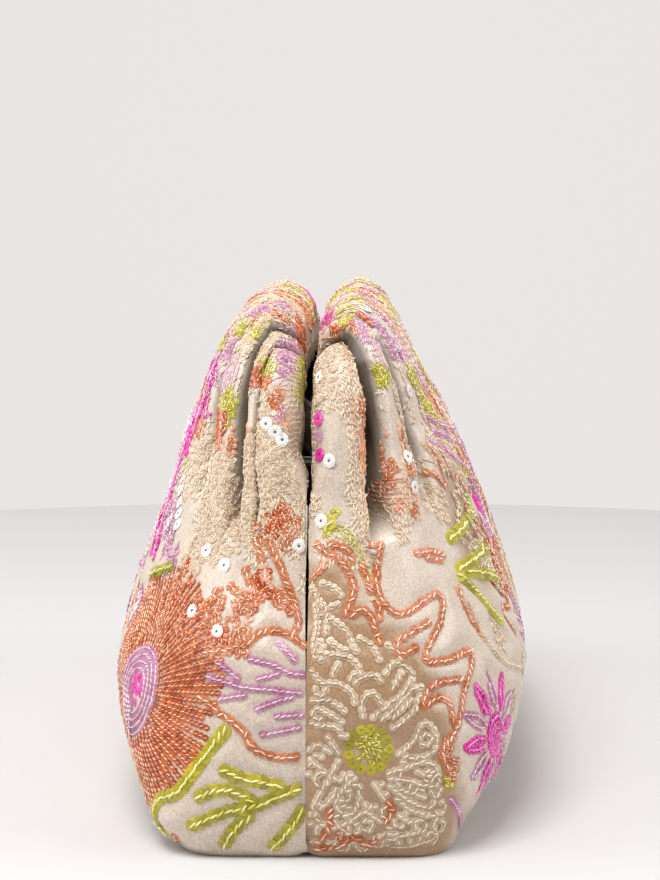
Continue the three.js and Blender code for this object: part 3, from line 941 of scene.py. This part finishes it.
def speckle_patch(radius, colour, tall=1.0):
    """A patch that is filled by one wandering line, which turns back at its edge."""
    heading, spot = rng.uniform(0, 2 * math.pi), np.zeros(2)
    points = [spot]
    for _ in range(round(SPECKLE_STEPS * tall * radius**2) + 6):
        heading += rng.normal(0, SPECKLE_WANDER)
        ahead = spot + np.array(polar(SPECKLE_STEP, heading))
        if math.hypot(ahead[0], ahead[1] / tall) > radius:
            heading = math.atan2(-spot[1], -spot[0]) + rng.normal(0, SPECKLE_TURN_BACK)
            ahead = spot + np.array(polar(SPECKLE_STEP, heading))
        spot = ahead
        points.append(spot)
    return [(colour, "sand", points)]


def lay(side, point, normal, across, reach):
    """The point of the cloth that a walk over it comes to: across and up by reach, in millimetres."""
    far = math.hypot(*reach)
    if far < 0.01:  # the motif's own centre
        return point
    heading = (across * reach[0] + normal.cross(across) * reach[1]) / far
    steps = math.ceil(far / WALK_STEP)
    for _ in range(steps):
        point, facing, _, _ = cloth[side].find_nearest(point + heading * (far / steps))
        heading -= facing * heading.dot(facing)
        if heading.length < 0.05:  # the cloth turns square to the walk
            break
        heading.normalize()
    return point


def sew_motif(lines, seen, turn=0.0):
    """Sews a motif at a spot of the cloth, turned by an angle in degrees."""
    side, point, normal = seen
    across = Vector((0, 0, 1)).cross(normal).normalized()
    across = Matrix.Rotation(math.radians(turn), 3, normal) @ across
    for colour, kind, line in lines:
        reaches = even_line(line, STITCHES[kind][PITCH])
        sew_both(colour, kind, side, [lay(side, point, normal, across, reach) for reach in reaches])


# Flowers of the end, by the pixel of their centres.
sew_motif(sunburst(34), seen_at(134, 690))
sew_motif([("lime", "ring", ring_of(5.2))], seen_at(369, 750))
sew_motif(speckle_patch(4.4, "lime"), seen_at(369, 750))
sew_motif(daisy(17), seen_at(498, 735))
# Leaves at the end's right edge: pixel of the stalk, and the tip from there in millimetres.
END_LEAVES = [(450, 538, (30, 6)), (460, 568, (33, 3)), (462, 571, (28, -4)), (460, 575, (18, -13))]
for px, py, tip in END_LEAVES:
    sew_motif([("lime", "leaf", [(0, 0), tip])], seen_at(px, py))

# Patches of the end: pixel of the centre and radius in millimetres.
END_PATCHES = {
    "orange": [
        (304, 325, 3), (302, 345, 2), (222, 425, 3), (256, 375, 2.5), (275, 522, 3), (165, 600, 6),
        (150, 590, 3), (335, 331, 2.5), (262, 590, 4), (175, 590, 6), (190, 622, 6), (168, 632, 6),
        (215, 645, 4), (306, 355, 3), (284, 512, 2), (440, 400, 3), (298, 300, 3),
    ],
    "peach": [
        (275, 290, 3), (235, 440, 3), (276, 397, 2), (262, 535, 3), (362, 290, 3), (432, 392, 2.5),
        (370, 430, 3.5), (385, 490, 2.5), (400, 505, 2), (240, 612, 4), (285, 600, 3), (213, 608, 4),
        (236, 640, 4), (290, 290, 3), (380, 300, 3), (388, 318, 3), (372, 288, 3), (350, 335, 3),
        (240, 455, 3), (290, 530, 4), (395, 470, 2), (365, 410, 3), (405, 440, 2), (412, 470, 2),
        (415, 510, 2), (378, 440, 3), (376, 480, 2), (374, 462, 3), (384, 474, 2.5), (450, 745, 2.5),
        (452, 768, 2.5), (340, 838, 2),
    ],
    "cream": [
        (262, 300, 4), (243, 345, 3), (266, 345, 4), (262, 320, 3), (270, 460, 7), (285, 480, 5),
        (215, 500, 8), (205, 540, 7), (225, 470, 6), (250, 500, 8), (260, 435, 5), (235, 530, 7),
        (190, 560, 5), (200, 460, 5), (328, 360, 6), (322, 385, 4), (300, 310, 3),
    ],
    "lilac": [
        (250, 308, 3), (212, 380, 3), (287, 345, 2.5), (284, 370, 2), (280, 415, 2), (165, 515, 5),
        (175, 480, 3), (358, 325, 3), (360, 342, 3), (380, 325, 3), (392, 345, 3), (375, 310, 3),
        (286, 358, 3), (290, 335, 2.5), (262, 312, 3), (230, 345, 3), (168, 540, 4), (170, 560, 4),
        (400, 350, 3), (445, 425, 2),
    ],
    "lime": [
        (258, 326, 2.5), (227, 395, 3), (262, 360, 1.5), (140, 625, 4), (340, 288, 2.5), (342, 308, 2.5),
        (375, 375, 3), (412, 377, 3), (425, 405, 3.5), (306, 380, 2), (350, 298, 3), (345, 320, 3),
        (240, 330, 3), (255, 335, 3), (228, 412, 3), (384, 377, 2.5), (472, 508, 4), (330, 524, 3),
        (449, 784, 1.5),
    ],
    "magenta": [
        (206, 372, 2), (200, 390, 2), (194, 412, 2), (188, 430, 2), (326, 300, 2.5), (323, 318, 2.5),
        (160, 500, 2), (330, 292, 2.5), (152, 530, 2),
    ],
}
for colour, patches in END_PATCHES.items():
    for px, py, radius in patches:
        seen = seen_at(px, py)
        if seen:
            sew_motif(speckle_patch(radius, colour, tall=1.5), seen)

# Flowers of the long side: motif, size, place along the side and height in millimetres, turn in degrees.
FAR_OFF = 300  # clear of the cloth
SIDE_MOTIFS = [
    (lace_flower, 22, 8, 42, 0),
    (sunburst, 28, -42, 76, 0),
    (daisy, 15, 42, 90, 10),
    (daisy, 12, -50, 24, 25),
    (blossom, 10, 44, 48, 0),
    (blossom, 9, -14, 88, 30),
    (blossom, 9, -18, 14, 10),
    (sprig, 30, -20, 20, 165),
    (sprig, 28, 26, 70, 30),
    (sprig, 26, -10, 98, 80),
    (sprig, 24, 66, 84, 70),
    (sprig, 26, 34, 14, -8),
    (fern, 30, -28, 44, 170),
    (fern, 26, 10, 82, 70),
    (fern, 26, 60, 62, 150),
    (lace_flower, 11, -68, 73, 0),
    (fern, 22, 62, 104, 100),
    (coral, 45, -36, 54, 12),
    (coral, 38, 20, 104, 0),
    (coral, 30, -68, 46, 60),
    (coral, 52, -20, 6, 0),
    (coral, 38, 36, 30, 30),
    (coral, 38, -22, 110, 172),
    (coral, 30, -60, 104, 190),
]


def side_spot(along, height):
    """The front panel's cloth at a place along the side and a height."""
    point, normal, _, _ = cloth[FRONT].ray_cast(Vector((along, -FAR_OFF, height)), Vector((0, 1, 0)))
    return (FRONT, point, normal) if point is not None else None


for motif, size, along, height, turn in SIDE_MOTIFS:
    sew_motif(motif(size), side_spot(along, height), turn)

# Small sprays and fields where the flowers leave the side bare, as large as there is room.
ROOM = 9  # millimetres that are looked at about a spot
LEAST_ROOM = 4.5
GRID_STEP = 6
FILLER_TURN = 57
SIDE_REACH = 84  # from mid-length, how far the side's patches go
SIDE_BOTTOM = 6
SIDE_TOP = 100


def room_at(spot):
    """How far the nearest stitch is from a spot."""
    return min([ROOM] + [(spot - other).length for other, _ in neighbours(spot, math.ceil(ROOM / CELL))])


def cream_field(radius):
    """A round patch of cream."""
    return speckle_patch(radius, "cream")


def peach_field(radius):
    """A round patch of peach."""
    return speckle_patch(radius, "peach")


# motif, its size as a share of the room
FILLERS = [
    (cream_field, 0.9), (sprig, 2.2), (blossom, 1.1), (cream_field, 0.9), (fern, 2.2), (peach_field, 0.7)]
filled = 0
for height in range(SIDE_BOTTOM, SIDE_TOP, GRID_STEP):
    for along in range(-SIDE_REACH + height % 4, SIDE_REACH, GRID_STEP):
        seen = side_spot(along, height)
        room = room_at(seen[1]) if seen else 0
        if room > LEAST_ROOM:
            motif, share = FILLERS[filled % len(FILLERS)]
            sew_motif(motif(share * room), seen, turn=FILLER_TURN * filled)
            filled += 1

# Patches on the long side's neck and lip, in turn along it, and between the flowers.
SIDE_COLOURS = ["cream", "orange", "cream", "lime", "cream", "lilac", "peach", "cream", "magenta"]
PATCH_STEP = 10
PATCH_RADIUS = 4
for k, along in enumerate(range(-SIDE_REACH, SIDE_REACH, PATCH_STEP)):
    colour, lip_colour = (SIDE_COLOURS[i % len(SIDE_COLOURS)] for i in (k, k + 4))
    neck_height = 110 + 6 * math.sin(1.7 * k)
    sew_motif(speckle_patch(PATCH_RADIUS, colour, tall=1.8), side_spot(along, neck_height))
    for inwards, patch_colour in ((8, lip_colour), (14, colour)):
        above = Vector((along + 0.4 * inwards, MOUTH_Y - inwards, FAR_OFF))
        point, normal, _, _ = cloth[FRONT].ray_cast(above, Vector((0, 0, -1)))
        if point is not None:
            sew_motif(speckle_patch(PATCH_RADIUS, patch_colour), (FRONT, point, normal))
# place along the side, height, radius
CREAM_FIELDS = [
    (-20, 98, 8), (56, 72, 7), (-70, 96, 8), (60, 106, 7), (-2, 72, 6), (66, 30, 6), (26, 84, 6),
    (-66, 62, 6), (-30, 32, 6), (30, 58, 5), (48, 18, 6), (-6, 12, 5),
]
for along, height, radius in CREAM_FIELDS:
    sew_motif(speckle_patch(radius, "cream"), side_spot(along, height))
# short strings of paillettes: where each starts along the side, and at what height
STRINGS = [
    (-70, 62), (-55, 97), (-40, 78), (-25, 30), (-10, 70), (5, 104), (20, 15), (35, 62), (50, 97), (65, 78)]
STRING_COUNT = 4
STRING_STEP = (1.5, 3.4)  # along and up, from one to the next
for along, height in STRINGS:
    for k in range(STRING_COUNT):
        side, point, _ = side_spot(along + STRING_STEP[0] * k, height + STRING_STEP[1] * k)
        sew_both("white", "paillette", side, [point])


# Fold threads. Where the cloth is gathered, rows of running stitch in rayon floss follow each fold from the
# lip to the shoulder, in bands of colour, and cover what the flowers leave bare.
THREAD_ROW_GAP = 1.0
PITCH_SPREAD = (0.85, 1.25)
BARE_MM = 11.0  # size of the bare spots
BARE_ABOVE = 0.28  # of a noise from -1 to 1
BAND_MM = 20.0  # size of the bands along the sides
BAND_SHIFT = Vector((40, 0, 0))  # so that they don't follow the bare spots
SIDE_BANDS = ((-0.36, "lime"), (-0.16, "lilac"), (0.22, "cream"))
END_FROM = 42.0  # millimetres along, where the chart of the end begins
# bands of the end: pixel of the centre, half the width and height, colour
END_BANDS = [
    (305, 325, 9, 27, "orange"), (273, 307, 18, 7, "lilac"), (263, 322, 14, 10, "lime"),
    (219, 340, 8, 10, "lime"), (206, 380, 9, 40, "magenta"), (224, 360, 14, 34, "lilac"),
    (224, 392, 10, 17, "lime"), (226, 429, 14, 24, "orange"), (198, 428, 9, 10, "orange"),
    (266, 366, 10, 10, "lime"), (259, 379, 12, 11, "orange"), (290, 348, 13, 16, "lilac"),
    (284, 380, 9, 10, "lilac"), (277, 400, 8, 8, "orange"), (282, 420, 10, 12, "peach"),
    (324, 310, 9, 22, "magenta"), (345, 290, 11, 10, "lime"), (362, 287, 10, 6, "orange"),
    (372, 299, 17, 9, "peach"), (346, 315, 10, 6, "lime"), (332, 330, 15, 6, "orange"),
    (350, 335, 7, 9, "lime"), (362, 330, 10, 19, "lilac"), (387, 340, 15, 24, "lilac"),
    (402, 352, 13, 9, "lilac"), (381, 377, 16, 10, "lime"), (417, 376, 10, 8, "lime"),
    (430, 390, 10, 10, "orange"), (428, 402, 20, 12, "lime"), (431, 432, 16, 14, "lilac"),
    (305, 380, 8, 26, "lime"), (372, 447, 14, 30, "peach"), (262, 284, 16, 6, "peach"),
    (400, 320, 16, 20, "peach"),
]
# where the end's folds are left bare, in the same way
END_BARE = [
    (332, 462, 17, 52), (393, 428, 11, 50), (436, 420, 12, 14), (226, 545, 22, 20), (436, 500, 22, 40)]


def within(px, py, band):
    """Whether a pixel is in a band."""
    return math.hypot((px - band[0]) / band[2], (py - band[1]) / band[3]) < 1


def band_colour(point):
    """Colour of the thread at a point, or none where the satin is left bare."""
    if noise.noise(point / BARE_MM) > BARE_ABOVE:
        return None
    if abs(point.x) > END_FROM:
        away = (point if point.x > 0 else turned(point)) - CAMERA_AT
        scale = FOCAL_PX / away.dot(camera_looks)
        px = PICTURE[0] / 2 + scale * away.dot(camera_right)
        py = PICTURE[1] / 2 - scale * away.dot(camera_up)
        if any(within(px, py, bare) for bare in END_BARE):
            return None
        return next((band[4] for band in END_BANDS if within(px, py, band)), "cream")
    band = noise.noise(point / BAND_MM + BAND_SHIFT)
    for limit, colour in SIDE_BANDS:
        if band < limit:
            return colour
    return "peach"


def sew_run(colour, side, run):
    """Sews a row of running stitch, with a loose fibre at every second stitch."""
    sew(colour, "running", side, run)
    sew(colour, "loose", side, run[::2])


row_of = np.cumsum([0] + [line[MESH_ROWS] for line in LINES])
first_row = row_of[SHOULDER]
crest_row = row_of[CREST]
last_row = row_of[LINE_NAMES.index("facing")]
for side, grid in grids.items():
    last = None
    for column in range(grid.shape[1]):
        crest = grid[crest_row, column]
        if last is not None and np.linalg.norm(crest - last) < THREAD_ROW_GAP:
            continue
        last = crest
        run, run_colour = [], None
        pitch = STITCHES["running"][PITCH] * rng.uniform(*PITCH_SPREAD)
        for point in even_line(grid[first_row:last_row, column], pitch):
            point = Vector(point)
            colour = band_colour(point)
            if colour != run_colour:
                if run_colour:
                    sew_run(run_colour, side, run)
                run, run_colour = [], colour
            run.append(point)
        if run_colour:
            sew_run(run_colour, side, run)


# Puckers. Each line of sequins draws the padded satin down, so that the satin swells between the lines. Lace
# lies so close that the satin under it is toned as well: a warm beige net ground, darkened near the lace as
# painted shade.
PUCKER = 1.2
PUCKER_WIDTH = 3.5
SWELL = 0.7  # shares of a pucker: how far the cloth stands up clear of sequins, and is pressed down all over
PRESSED = 0.3
FOLDS_FROM = 80.0  # height from which the cloth is drawn too tight to swell, and over how much it tightens
FOLDS_FADE = 22.0
# how far from the lace the net ground and its painted shade are full, and over how much they fade
NET_SHADE_REACH = 3.0
NET_SHADE_FADES = 5.0


def tree_of(spots):
    """A tree to find the nearest of some spots."""
    tree = KDTree(len(spots))
    for k, spot in enumerate(spots):
        tree.insert(spot, k)
    tree.balance()
    return tree


def pucker(sequins, spot):
    """How far the cloth at a spot rises or sinks, by a tree of the sequins."""
    _, _, off = sequins.find(spot)
    loose = min(1, max(0, (FOLDS_FROM - spot.z) / FOLDS_FADE))
    return PUCKER * (loose * (SWELL - math.exp(-((off / PUCKER_WIDTH) ** 2))) - PRESSED)


for side, panel in panels.items():
    on_side = [kinds for (owner, _), kinds in sewn.items() if owner == side]
    lace = tree_of([stitch[0] for kinds in on_side for stitch in kinds.get("lace", ())])
    # net ground and painted shade: full near the lace stitches, fading away from them
    under_net = [1 - (lace.find(v.co / MM)[2] - NET_SHADE_REACH) / NET_SHADE_FADES for v in panel.data.vertices]
    net_shade_layer = panel.data.attributes.new("under_net", "FLOAT", "POINT")
    net_shade_layer.data.foreach_set("value", np.clip(under_net, 0, 1))
    sequins = tree_of([
        stitch[0] for kinds in on_side for kind, stitches in kinds.items() if kind not in BARE_THREAD
        for stitch in stitches])
    for kinds in on_side:
        for kind, stitches in kinds.items():
            kinds[kind] = [
                (spot + normal * pucker(sequins, spot), normal, along) for spot, normal, along in stitches]
    normals = [v.normal.copy() for v in panel.data.vertices]
    for v, normal in zip(panel.data.vertices, normals):
        if v.co.z > FLOOR_MARGIN * MM:
            v.co += normal * pucker(sequins, v.co / MM) * MM


# Trimmings. All the stitches of a colour on one panel are one piece, with each stitch in its own shade.
# Sequin film is thin coloured plastic, sheer but for the white, punched and slightly cupped: each one takes
# the light at its own angle, and the satin shows through. Thread and floss are bright, twisted rayon.
FILM = {"Roughness": 0.25, "Specular IOR Level": 0.6, "Coat Weight": 0.4, "Coat Roughness": 0.12}
RAYON = {"Roughness": 0.35, "Sheen Weight": 0.3}
RAYON_LIGHTEST = 0.5  # shade from which a thread has its lightest colour
# colour: darkest and lightest film, how much the film hides of what is behind it, the thread over it
COLOURS = {
    "orange": ("#b0420a", "#f07a2c", 0.62, "#ffecd2"),
    "peach": ("#d0703a", "#f49e6a", 0.45, "#fff2e2"),
    "cream": ("#dcc0a0", "#f8e3c8", 0.6, "#fff0da"),
    "ecru": ("#d6ba9a", "#f4e2c8", 0.66, "#f8e8d0"),
    "lilac": ("#cc80ac", "#ecb0d0", 0.38, "#fff0f6"),
    "lime": ("#b4aa04", "#e8dc22", 0.45, "#fdfbc4"),
    "magenta": ("#dc1098", "#fc4cc0", 0.85, "#ffb0e6"),
    "white": ("#ebe7e0", "#ffffff", 1.0, "#ffffff"),
}
# darkest and lightest floss of the running stitch
FLOSSES = {
    "orange": ("#c4531f", "#f08440"),
    "peach": ("#dc8a58", "#f6b284"),
    "cream": ("#dcc0a0", "#f8e3c8"),
    "lilac": ("#d89cba", "#f2c8dc"),
    "lime": ("#b4ae20", "#dcd650"),
    "magenta": ("#d4189a", "#f452bc"),
}


def shaded_material(name, inputs, dark, light, lightest=1.0):
    """A material that goes from dark to light with a stitch's shade."""
    material, tree, shader = new_material(name, inputs)
    shade = add_node(tree, "ShaderNodeAttribute", {"attribute_name": "shade"})
    tone = add_node(tree, "ShaderNodeValToRGB", inputs={"Fac": shade.outputs["Fac"]})
    tone.color_ramp.elements[0].color = linear(dark)
    tone.color_ramp.elements[1].position = lightest
    tone.color_ramp.elements[1].color = linear(light)
    tree.links.new(tone.outputs[0], shader.inputs["Base Color"])
    return material


def joined_stitches(name, kinds):
    """One mesh of all the stitches of a colour on a panel, with each stitch's shade as an attribute."""
    verts, faces, slots, smooth, shades = [], [], [], [], []
    count = 0
    for kind, spots in kinds.items():
        shape_name, size, _, _, wobble = STITCHES[kind]
        corners, shape_faces, shape_slots, shape_smooth = shapes[shape_name]
        at, up, along = (np.array([spot[k] for spot in spots]) for k in range(3))
        yaw, roll, tip = rng.normal(0, wobble, (3, len(spots), 1))
        across = np.cross(up, along)
        up = up + TILT * (roll * across + tip * along)
        turned_along = along * np.cos(yaw) + across * np.sin(yaw)
        turned_across = across * np.cos(yaw) - along * np.sin(yaw)
        axes = np.stack([turned_along, turned_across, up], axis=1)
        made = at[:, None, :] + size * np.einsum("vk,nkd->nvd", corners, axes)
        verts.append(made.reshape(-1, 3) * MM)
        shades.append(np.repeat(rng.uniform(0, 1, len(spots)), len(corners)))
        for k in range(len(spots)):
            start = count + k * len(corners)
            faces += [[start + v for v in face] for face in shape_faces]
        slots += shape_slots * len(spots)
        smooth += shape_smooth * len(spots)
        count += len(spots) * len(corners)
    mesh = bpy.data.meshes.new(name)
    mesh.from_pydata(np.concatenate(verts), [], faces)
    mesh.polygons.foreach_set("material_index", slots)
    mesh.polygons.foreach_set("use_smooth", smooth)
    mesh.attributes.new("shade", "FLOAT", "POINT").data.foreach_set("value", np.concatenate(shades))
    return mesh


films, threads, flosses = {}, {}, {}
for colour, (dark, light, hides, bright) in COLOURS.items():
    films[colour] = shaded_material(colour + "_sequin_film", {**FILM, "Alpha": hides}, dark, light)
    threads[colour] = shaded_material(colour + "_rayon_thread", RAYON, light, bright, RAYON_LIGHTEST)
for colour, (dark, light) in FLOSSES.items():
    flosses[colour] = shaded_material(colour + "_rayon_floss", RAYON, dark, light, RAYON_LIGHTEST)
trimmings = {side: [] for side in panels}
for (side, piece), kinds in sorted(sewn.items()):
    name = ("front_" if side == FRONT else "back_") + piece
    colour = piece.split("_")[0]
    trimming = bpy.data.objects.new(name, joined_stitches(name, kinds))
    bpy.context.scene.collection.objects.link(trimming)
    trimming.data.materials.append(films[colour])
    trimming.data.materials.append(flosses[colour] if piece.endswith("_threads") else threads[colour])
    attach(trimming, "root")
    trimmings[side].append(trimming)


# Stage. A plain round floor of pale paper before a plain pale backdrop, a broad soft light overhead and one
# on either side. Sizes and places are in metres.
FLOOR_RADIUS = 0.5
LIGHTS_AIM = Vector((0, 0, 0.07))

bm = bmesh.new()
bmesh.ops.create_circle(bm, cap_ends=True, segments=128, radius=FLOOR_RADIUS)
mesh = bpy.data.meshes.new("floor")
bm.to_mesh(mesh)
bm.free()
floor = bpy.data.objects.new("floor", mesh)
bpy.context.scene.collection.objects.link(floor)
pale_paper, _, _ = new_material("pale_paper", {"Base Color": linear("#d1d0d0"), "Roughness": 0.8})
floor.data.materials.append(pale_paper)

bpy.context.scene.view_settings.view_transform = "Standard"
world = bpy.data.worlds.new("studio")
bpy.context.scene.world = world
world.use_nodes = True
sky = world.node_tree.nodes["Background"]
sky.inputs["Color"].default_value = linear("#fbf6f3")
# the far end of the studio is bright, and the end behind the camera is dim
way = add_node(world.node_tree, "ShaderNodeTexCoord")
parts = add_node(world.node_tree, "ShaderNodeSeparateXYZ", inputs={0: way.outputs["Generated"]})
dimmed = add_node(world.node_tree, "ShaderNodeMapRange", inputs={
    "Value": parts.outputs["X"], "From Min": -1.0, "From Max": 0.6, "To Min": 0.86, "To Max": 0.36})
world.node_tree.links.new(dimmed.outputs[0], sky.inputs["Strength"])
# name, place, size, watts
LIGHTS = [
    ("overhead", (0.4, -0.2, 1.08), 0.6, 11.6),
    ("left", (0.2, -0.9, 0.6), 0.6, 3),
    ("right", (0.2, 0.9, 0.7), 0.6, 3),
]
for name, spot, size, watts in LIGHTS:
    lamp = bpy.data.lights.new(name, "AREA")
    lamp.energy = watts
    lamp.size = size
    softbox = bpy.data.objects.new(name, lamp)
    softbox.location = spot
    softbox.rotation_mode = "QUATERNION"
    softbox.rotation_quaternion = (LIGHTS_AIM - Vector(spot)).to_track_quat("-Z", "Y")
    bpy.context.scene.collection.objects.link(softbox)
